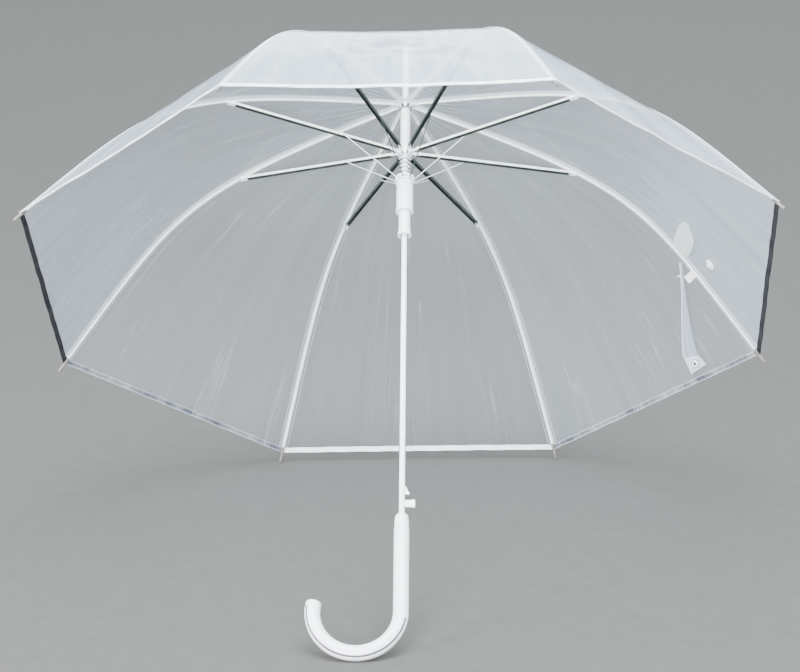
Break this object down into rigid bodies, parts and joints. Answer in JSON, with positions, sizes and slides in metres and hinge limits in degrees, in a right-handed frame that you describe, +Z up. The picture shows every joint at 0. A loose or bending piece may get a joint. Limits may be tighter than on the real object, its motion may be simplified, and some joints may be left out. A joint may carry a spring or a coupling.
{
  "type": "clear stick umbrella",
  "caption": "Clear dome stick umbrella with crook handle, sliding runner, hub, hinged channel stretchers, ribs and film panels, spring catch and button, lying open on its rim.",
  "frame": {"origin": "bottom centre of the open umbrella's bounding box, on the floor it rests on", "axes": "+Z up; +Y from the open side under the canopy towards the ferrule; the crook opens towards -X and the button faces +X"},
  "size_m": [0.9428, 0.7254, 0.709],
  "materials": {
    "white_plastic": "glossy moulded white",
    "white_enamel": "glossy white enamel on steel",
    "rib_enamel": "off-white coating on round wire",
    "stretcher_enamel": "pale coating on folded steel channel",
    "clear_film": "clear flexible film",
    "strap_film": "cloudy flexible film",
    "tag_paper": "blank white tag",
    "spring_steel": "plain spring steel"
  },
  "bodies": {
    "shaft": {"shaft_tube": "white_enamel", "ferrule": "white_plastic", "crown_cap": "white_plastic", "top_notch": "white_plastic", "handle_collar": "white_plastic", "handle_crook": "white_plastic", "leaf_spring": "spring_steel"},
    "runner": {"runner_collar": "white_plastic", "runner_body": "white_plastic", "runner_sleeve": "white_plastic"},
    "hub": {"stretcher_hub": "white_plastic", "hub_neck": "white_plastic", "kick_spring": "white_enamel"},
    "catch_body": {"catch": "white_plastic"},
    "button_body": {"release_button": "white_plastic"},
    "rib_body_1": {"rib_1": "rib_enamel"},
    "stretcher_body_1": {"stretcher_1": "stretcher_enamel"},
    "link_body_1": {"link_1": "white_enamel"},
    "film_body_1a": {"film_panel_1a": "clear_film", "blank_tag": "tag_paper"},
    "film_body_1b": {"film_panel_1b": "clear_film", "strap_patch": "strap_film", "snap_stud": "white_plastic"},
    "rib_body_2": {"rib_2": "rib_enamel"},
    "stretcher_body_2": {"stretcher_2": "stretcher_enamel"},
    "link_body_2": {"link_2": "white_enamel"},
    "film_body_2a": {"film_panel_2a": "clear_film"},
    "film_body_2b": {"film_panel_2b": "clear_film"},
    "rib_body_3": {"rib_3": "rib_enamel"},
    "stretcher_body_3": {"stretcher_3": "stretcher_enamel"},
    "link_body_3": {"link_3": "white_enamel"},
    "film_body_3a": {"film_panel_3a": "clear_film"},
    "film_body_3b": {"film_panel_3b": "clear_film"},
    "rib_body_4": {"rib_4": "rib_enamel"},
    "stretcher_body_4": {"stretcher_4": "stretcher_enamel"},
    "link_body_4": {"link_4": "white_enamel"},
    "film_body_4a": {"film_panel_4a": "clear_film"},
    "film_body_4b": {"film_panel_4b": "clear_film"},
    "rib_body_5": {"rib_5": "rib_enamel"},
    "stretcher_body_5": {"stretcher_5": "stretcher_enamel"},
    "link_body_5": {"link_5": "white_enamel"},
    "film_body_5a": {"film_panel_5a": "clear_film"},
    "film_body_5b": {"film_panel_5b": "clear_film"},
    "rib_body_6": {"rib_6": "rib_enamel"},
    "stretcher_body_6": {"stretcher_6": "stretcher_enamel"},
    "link_body_6": {"link_6": "white_enamel"},
    "film_body_6a": {"film_panel_6a": "clear_film"},
    "film_body_6b": {"film_panel_6b": "clear_film"},
    "rib_body_7": {"rib_7": "rib_enamel"},
    "stretcher_body_7": {"stretcher_7": "stretcher_enamel"},
    "link_body_7": {"link_7": "white_enamel"},
    "film_body_7a": {"film_panel_7a": "clear_film"},
    "film_body_7b": {"film_panel_7b": "clear_film"},
    "rib_body_8": {"rib_8": "rib_enamel"},
    "stretcher_body_8": {"stretcher_8": "stretcher_enamel"},
    "link_body_8": {"link_8": "white_enamel"},
    "film_body_8a": {"film_panel_8a": "clear_film"},
    "film_body_8b": {"film_panel_8b": "clear_film"},
    "strap_body": {"closure_strap": "strap_film", "snap_socket": "white_plastic"}
  },
  "joints": [
    {"name": "runner_slide", "type": "slide", "parent": "shaft", "child": "runner", "axis": [0, -0.7325, -0.6807], "range_m": [0, 0.374], "stiffness_N_per_m": 60, "springref_m": -0.08, "deforming": ["kick_spring"]},
    {"name": "hub_slide", "type": "slide", "parent": "shaft", "child": "hub", "axis": [0, -0.7325, -0.6807], "range_m": [0, 0.4067]},
    {"name": "rib_hinge_1", "type": "hinge", "parent": "shaft", "child": "rib_body_1", "pos_m": [0.00693, 0.22055, 0.53871], "axis": [-0.3827, 0.6289, -0.6768], "range_deg": [0, 59.35], "deforming": ["rib_1"]},
    {"name": "stretcher_hinge_1", "type": "hinge", "parent": "hub", "child": "stretcher_body_1", "pos_m": [0.00758, 0.16799, 0.48951], "axis": [0.3827, -0.6289, 0.6768], "range_deg": [0, 83.1]},
    {"name": "link_hinge_1", "type": "hinge", "parent": "runner", "child": "link_body_1", "pos_m": [0.01155, 0.13724, 0.45869], "axis": [0.3827, -0.6289, 0.6768], "range_deg": [0, 56.45]},
    {"name": "film_fold_1a", "type": "hinge", "parent": "rib_body_1", "child": "film_body_1a", "pos_m": [0.00693, 0.22055, 0.53871], "axis": [0.806, -0.1309, -0.5773], "range_deg": [0, 66.05], "deforming": ["film_panel_1a"]},
    {"name": "film_fold_1b", "type": "hinge", "parent": "rib_body_1", "child": "film_body_1b", "pos_m": [0.00693, 0.22055, 0.53871], "axis": [-0.806, 0.1309, 0.5773], "range_deg": [0, 66.05], "deforming": ["film_panel_1b", "strap_patch"]},
    {"name": "rib_hinge_2", "type": "hinge", "parent": "shaft", "child": "rib_body_2", "pos_m": [0.00287, 0.22331, 0.53574], "axis": [-0.9239, 0.2605, -0.2803], "range_deg": [0, 59.35], "deforming": ["rib_2"]},
    {"name": "stretcher_hinge_2", "type": "hinge", "parent": "hub", "child": "stretcher_body_2", "pos_m": [0.00314, 0.17101, 0.48626], "axis": [0.9239, -0.2605, 0.2803], "range_deg": [0, 83.1]},
    {"name": "link_hinge_2", "type": "hinge", "parent": "runner", "child": "link_body_2", "pos_m": [0.00478, 0.14185, 0.45373], "axis": [0.9239, -0.2605, 0.2803], "range_deg": [0, 56.45]},
    {"name": "film_fold_2a", "type": "hinge", "parent": "rib_body_2", "child": "film_body_2a", "pos_m": [0.00287, 0.22331, 0.53574], "axis": [0.3338, 0.1905, -0.9232], "range_deg": [0, 66.05], "deforming": ["film_panel_2a"]},
    {"name": "film_fold_2b", "type": "hinge", "parent": "rib_body_2", "child": "film_body_2b", "pos_m": [0.00287, 0.22331, 0.53574], "axis": [-0.3338, -0.1905, 0.9232], "range_deg": [0, 66.05], "deforming": ["film_panel_2b"]},
    {"name": "rib_hinge_3", "type": "hinge", "parent": "shaft", "child": "rib_body_3", "pos_m": [-0.00287, 0.22331, 0.53574], "axis": [-0.9239, -0.2605, 0.2803], "range_deg": [0, 59.35], "deforming": ["rib_3"]},
    {"name": "stretcher_hinge_3", "type": "hinge", "parent": "hub", "child": "stretcher_body_3", "pos_m": [-0.00314, 0.17101, 0.48626], "axis": [0.9239, 0.2605, -0.2803], "range_deg": [0, 83.1]},
    {"name": "link_hinge_3", "type": "hinge", "parent": "runner", "child": "link_body_3", "pos_m": [-0.00478, 0.14185, 0.45373], "axis": [0.9239, 0.2605, -0.2803], "range_deg": [0, 56.45]},
    {"name": "film_fold_3a", "type": "hinge", "parent": "rib_body_3", "child": "film_body_3a", "pos_m": [-0.00287, 0.22331, 0.53574], "axis": [-0.3338, 0.1905, -0.9232], "range_deg": [0, 66.05], "deforming": ["film_panel_3a"]},
    {"name": "film_fold_3b", "type": "hinge", "parent": "rib_body_3", "child": "film_body_3b", "pos_m": [-0.00287, 0.22331, 0.53574], "axis": [0.3338, -0.1905, 0.9232], "range_deg": [0, 66.05], "deforming": ["film_panel_3b"]},
    {"name": "rib_hinge_4", "type": "hinge", "parent": "shaft", "child": "rib_body_4", "pos_m": [-0.00693, 0.22055, 0.53871], "axis": [-0.3827, -0.6289, 0.6768], "range_deg": [0, 59.35], "deforming": ["rib_4"]},
    {"name": "stretcher_hinge_4", "type": "hinge", "parent": "hub", "child": "stretcher_body_4", "pos_m": [-0.00758, 0.16799, 0.48951], "axis": [0.3827, 0.6289, -0.6768], "range_deg": [0, 83.1]},
    {"name": "link_hinge_4", "type": "hinge", "parent": "runner", "child": "link_body_4", "pos_m": [-0.01155, 0.13724, 0.45869], "axis": [0.3827, 0.6289, -0.6768], "range_deg": [0, 56.45]},
    {"name": "film_fold_4a", "type": "hinge", "parent": "rib_body_4", "child": "film_body_4a", "pos_m": [-0.00693, 0.22055, 0.53871], "axis": [-0.806, -0.1309, -0.5773], "range_deg": [0, 66.05], "deforming": ["film_panel_4a"]},
    {"name": "film_fold_4b", "type": "hinge", "parent": "rib_body_4", "child": "film_body_4b", "pos_m": [-0.00693, 0.22055, 0.53871], "axis": [0.806, 0.1309, 0.5773], "range_deg": [0, 66.05], "deforming": ["film_panel_4b"]},
    {"name": "rib_hinge_5", "type": "hinge", "parent": "shaft", "child": "rib_body_5", "pos_m": [-0.00693, 0.21664, 0.54292], "axis": [0.3827, -0.6289, 0.6768], "range_deg": [0, 59.35], "deforming": ["rib_5"]},
    {"name": "stretcher_hinge_5", "type": "hinge", "parent": "hub", "child": "stretcher_body_5", "pos_m": [-0.00758, 0.16372, 0.4941], "axis": [-0.3827, 0.6289, -0.6768], "range_deg": [0, 83.1]},
    {"name": "link_hinge_5", "type": "hinge", "parent": "runner", "child": "link_body_5", "pos_m": [-0.01155, 0.13073, 0.4657], "axis": [-0.3827, 0.6289, -0.6768], "range_deg": [0, 56.45]},
    {"name": "film_fold_5a", "type": "hinge", "parent": "rib_body_5", "child": "film_body_5a", "pos_m": [-0.00693, 0.21664, 0.54292], "axis": [-0.806, -0.5854, -0.0882], "range_deg": [0, 66.05], "deforming": ["film_panel_5a"]},
    {"name": "film_fold_5b", "type": "hinge", "parent": "rib_body_5", "child": "film_body_5b", "pos_m": [-0.00693, 0.21664, 0.54292], "axis": [0.806, 0.5854, 0.0882], "range_deg": [0, 66.05], "deforming": ["film_panel_5b"]},
    {"name": "rib_hinge_6", "type": "hinge", "parent": "shaft", "child": "rib_body_6", "pos_m": [-0.00287, 0.21388, 0.54589], "axis": [0.9239, -0.2605, 0.2803], "range_deg": [0, 59.35], "deforming": ["rib_6"]},
    {"name": "stretcher_hinge_6", "type": "hinge", "parent": "hub", "child": "stretcher_body_6", "pos_m": [-0.00314, 0.1607, 0.49735], "axis": [-0.9239, 0.2605, -0.2803], "range_deg": [0, 83.1]},
    {"name": "link_hinge_6", "type": "hinge", "parent": "runner", "child": "link_body_6", "pos_m": [-0.00478, 0.12613, 0.47065], "axis": [-0.9239, 0.2605, -0.2803], "range_deg": [0, 56.45]},
    {"name": "film_fold_6a", "type": "hinge", "parent": "rib_body_6", "child": "film_body_6a", "pos_m": [-0.00287, 0.21388, 0.54589], "axis": [-0.3338, -0.9067, 0.2576], "range_deg": [0, 66.05], "deforming": ["film_panel_6a"]},
    {"name": "film_fold_6b", "type": "hinge", "parent": "rib_body_6", "child": "film_body_6b", "pos_m": [-0.00287, 0.21388, 0.54589], "axis": [0.3338, 0.9067, -0.2576], "range_deg": [0, 66.05], "deforming": ["film_panel_6b"]},
    {"name": "rib_hinge_7", "type": "hinge", "parent": "shaft", "child": "rib_body_7", "pos_m": [0.00287, 0.21388, 0.54589], "axis": [0.9239, 0.2605, -0.2803], "range_deg": [0, 59.35], "deforming": ["rib_7"]},
    {"name": "stretcher_hinge_7", "type": "hinge", "parent": "hub", "child": "stretcher_body_7", "pos_m": [0.00314, 0.1607, 0.49735], "axis": [-0.9239, -0.2605, 0.2803], "range_deg": [0, 83.1]},
    {"name": "link_hinge_7", "type": "hinge", "parent": "runner", "child": "link_body_7", "pos_m": [0.00478, 0.12613, 0.47065], "axis": [-0.9239, -0.2605, 0.2803], "range_deg": [0, 56.45]},
    {"name": "film_fold_7a", "type": "hinge", "parent": "rib_body_7", "child": "film_body_7a", "pos_m": [0.00287, 0.21388, 0.54589], "axis": [0.3338, -0.9067, 0.2576], "range_deg": [0, 66.05], "deforming": ["film_panel_7a"]},
    {"name": "film_fold_7b", "type": "hinge", "parent": "rib_body_7", "child": "film_body_7b", "pos_m": [0.00287, 0.21388, 0.54589], "axis": [-0.3338, 0.9067, -0.2576], "range_deg": [0, 66.05], "deforming": ["film_panel_7b"]},
    {"name": "rib_hinge_8", "type": "hinge", "parent": "shaft", "child": "rib_body_8", "pos_m": [0.00693, 0.21664, 0.54292], "axis": [0.3827, 0.6289, -0.6768], "range_deg": [0, 59.35], "deforming": ["rib_8"]},
    {"name": "stretcher_hinge_8", "type": "hinge", "parent": "hub", "child": "stretcher_body_8", "pos_m": [0.00758, 0.16372, 0.4941], "axis": [-0.3827, -0.6289, 0.6768], "range_deg": [0, 83.1]},
    {"name": "link_hinge_8", "type": "hinge", "parent": "runner", "child": "link_body_8", "pos_m": [0.01155, 0.13073, 0.4657], "axis": [-0.3827, -0.6289, 0.6768], "range_deg": [0, 56.45]},
    {"name": "film_fold_8a", "type": "hinge", "parent": "rib_body_8", "child": "film_body_8a", "pos_m": [0.00693, 0.21664, 0.54292], "axis": [0.806, -0.5854, -0.0882], "range_deg": [0, 66.05], "deforming": ["film_panel_8a"]},
    {"name": "film_fold_8b", "type": "hinge", "parent": "rib_body_8", "child": "film_body_8b", "pos_m": [0.00693, 0.21664, 0.54292], "axis": [-0.806, 0.5854, 0.0882], "range_deg": [0, 66.05], "deforming": ["film_panel_8b"]},
    {"name": "button_press", "type": "slide", "parent": "shaft", "child": "button_body", "axis": [-1, 0, 0], "range_m": [0, 0.0045], "stiffness_N_per_m": 900, "springref_m": -0.0015, "deforming": ["leaf_spring"]},
    {"name": "catch_slide", "type": "slide", "parent": "shaft", "child": "catch_body", "axis": [-1, 0, 0], "range_m": [0, 0.00466]},
    {"name": "strap_swing", "type": "hinge", "parent": "film_body_1a", "child": "strap_body", "pos_m": [0.36258, 0.21244, 0.32178], "axis": [-0.8094, 0.5541, -0.1943], "range_deg": [0, 40], "stiffness_Nm_per_rad": 0.02, "springref_deg": -1.72}
  ],
  "couplings": [
    {"joint": "hub_slide", "follows": "runner_slide", "ratio": 1.0869},
    {"joint": "rib_hinge_1", "follows": "runner_slide", "rad_per_m": 2.7673},
    {"joint": "stretcher_hinge_1", "follows": "runner_slide", "rad_per_m": 3.8757},
    {"joint": "link_hinge_1", "follows": "runner_slide", "rad_per_m": 2.632},
    {"joint": "film_fold_1a", "follows": "runner_slide", "rad_per_m": 3.08},
    {"joint": "film_fold_1b", "follows": "runner_slide", "rad_per_m": 3.08},
    {"joint": "rib_hinge_2", "follows": "runner_slide", "rad_per_m": 2.7673},
    {"joint": "stretcher_hinge_2", "follows": "runner_slide", "rad_per_m": 3.8757},
    {"joint": "link_hinge_2", "follows": "runner_slide", "rad_per_m": 2.632},
    {"joint": "film_fold_2a", "follows": "runner_slide", "rad_per_m": 3.08},
    {"joint": "film_fold_2b", "follows": "runner_slide", "rad_per_m": 3.08},
    {"joint": "rib_hinge_3", "follows": "runner_slide", "rad_per_m": 2.7673},
    {"joint": "stretcher_hinge_3", "follows": "runner_slide", "rad_per_m": 3.8757},
    {"joint": "link_hinge_3", "follows": "runner_slide", "rad_per_m": 2.632},
    {"joint": "film_fold_3a", "follows": "runner_slide", "rad_per_m": 3.08},
    {"joint": "film_fold_3b", "follows": "runner_slide", "rad_per_m": 3.08},
    {"joint": "rib_hinge_4", "follows": "runner_slide", "rad_per_m": 2.7673},
    {"joint": "stretcher_hinge_4", "follows": "runner_slide", "rad_per_m": 3.8757},
    {"joint": "link_hinge_4", "follows": "runner_slide", "rad_per_m": 2.632},
    {"joint": "film_fold_4a", "follows": "runner_slide", "rad_per_m": 3.08},
    {"joint": "film_fold_4b", "follows": "runner_slide", "rad_per_m": 3.08},
    {"joint": "rib_hinge_5", "follows": "runner_slide", "rad_per_m": 2.7673},
    {"joint": "stretcher_hinge_5", "follows": "runner_slide", "rad_per_m": 3.8757},
    {"joint": "link_hinge_5", "follows": "runner_slide", "rad_per_m": 2.632},
    {"joint": "film_fold_5a", "follows": "runner_slide", "rad_per_m": 3.08},
    {"joint": "film_fold_5b", "follows": "runner_slide", "rad_per_m": 3.08},
    {"joint": "rib_hinge_6", "follows": "runner_slide", "rad_per_m": 2.7673},
    {"joint": "stretcher_hinge_6", "follows": "runner_slide", "rad_per_m": 3.8757},
    {"joint": "link_hinge_6", "follows": "runner_slide", "rad_per_m": 2.632},
    {"joint": "film_fold_6a", "follows": "runner_slide", "rad_per_m": 3.08},
    {"joint": "film_fold_6b", "follows": "runner_slide", "rad_per_m": 3.08},
    {"joint": "rib_hinge_7", "follows": "runner_slide", "rad_per_m": 2.7673},
    {"joint": "stretcher_hinge_7", "follows": "runner_slide", "rad_per_m": 3.8757},
    {"joint": "link_hinge_7", "follows": "runner_slide", "rad_per_m": 2.632},
    {"joint": "film_fold_7a", "follows": "runner_slide", "rad_per_m": 3.08},
    {"joint": "film_fold_7b", "follows": "runner_slide", "rad_per_m": 3.08},
    {"joint": "rib_hinge_8", "follows": "runner_slide", "rad_per_m": 2.7673},
    {"joint": "stretcher_hinge_8", "follows": "runner_slide", "rad_per_m": 3.8757},
    {"joint": "link_hinge_8", "follows": "runner_slide", "rad_per_m": 2.632},
    {"joint": "film_fold_8a", "follows": "runner_slide", "rad_per_m": 3.08},
    {"joint": "film_fold_8b", "follows": "runner_slide", "rad_per_m": 3.08},
    {"joint": "catch_slide", "follows": "button_press", "ratio": 1.0333}
  ]
}
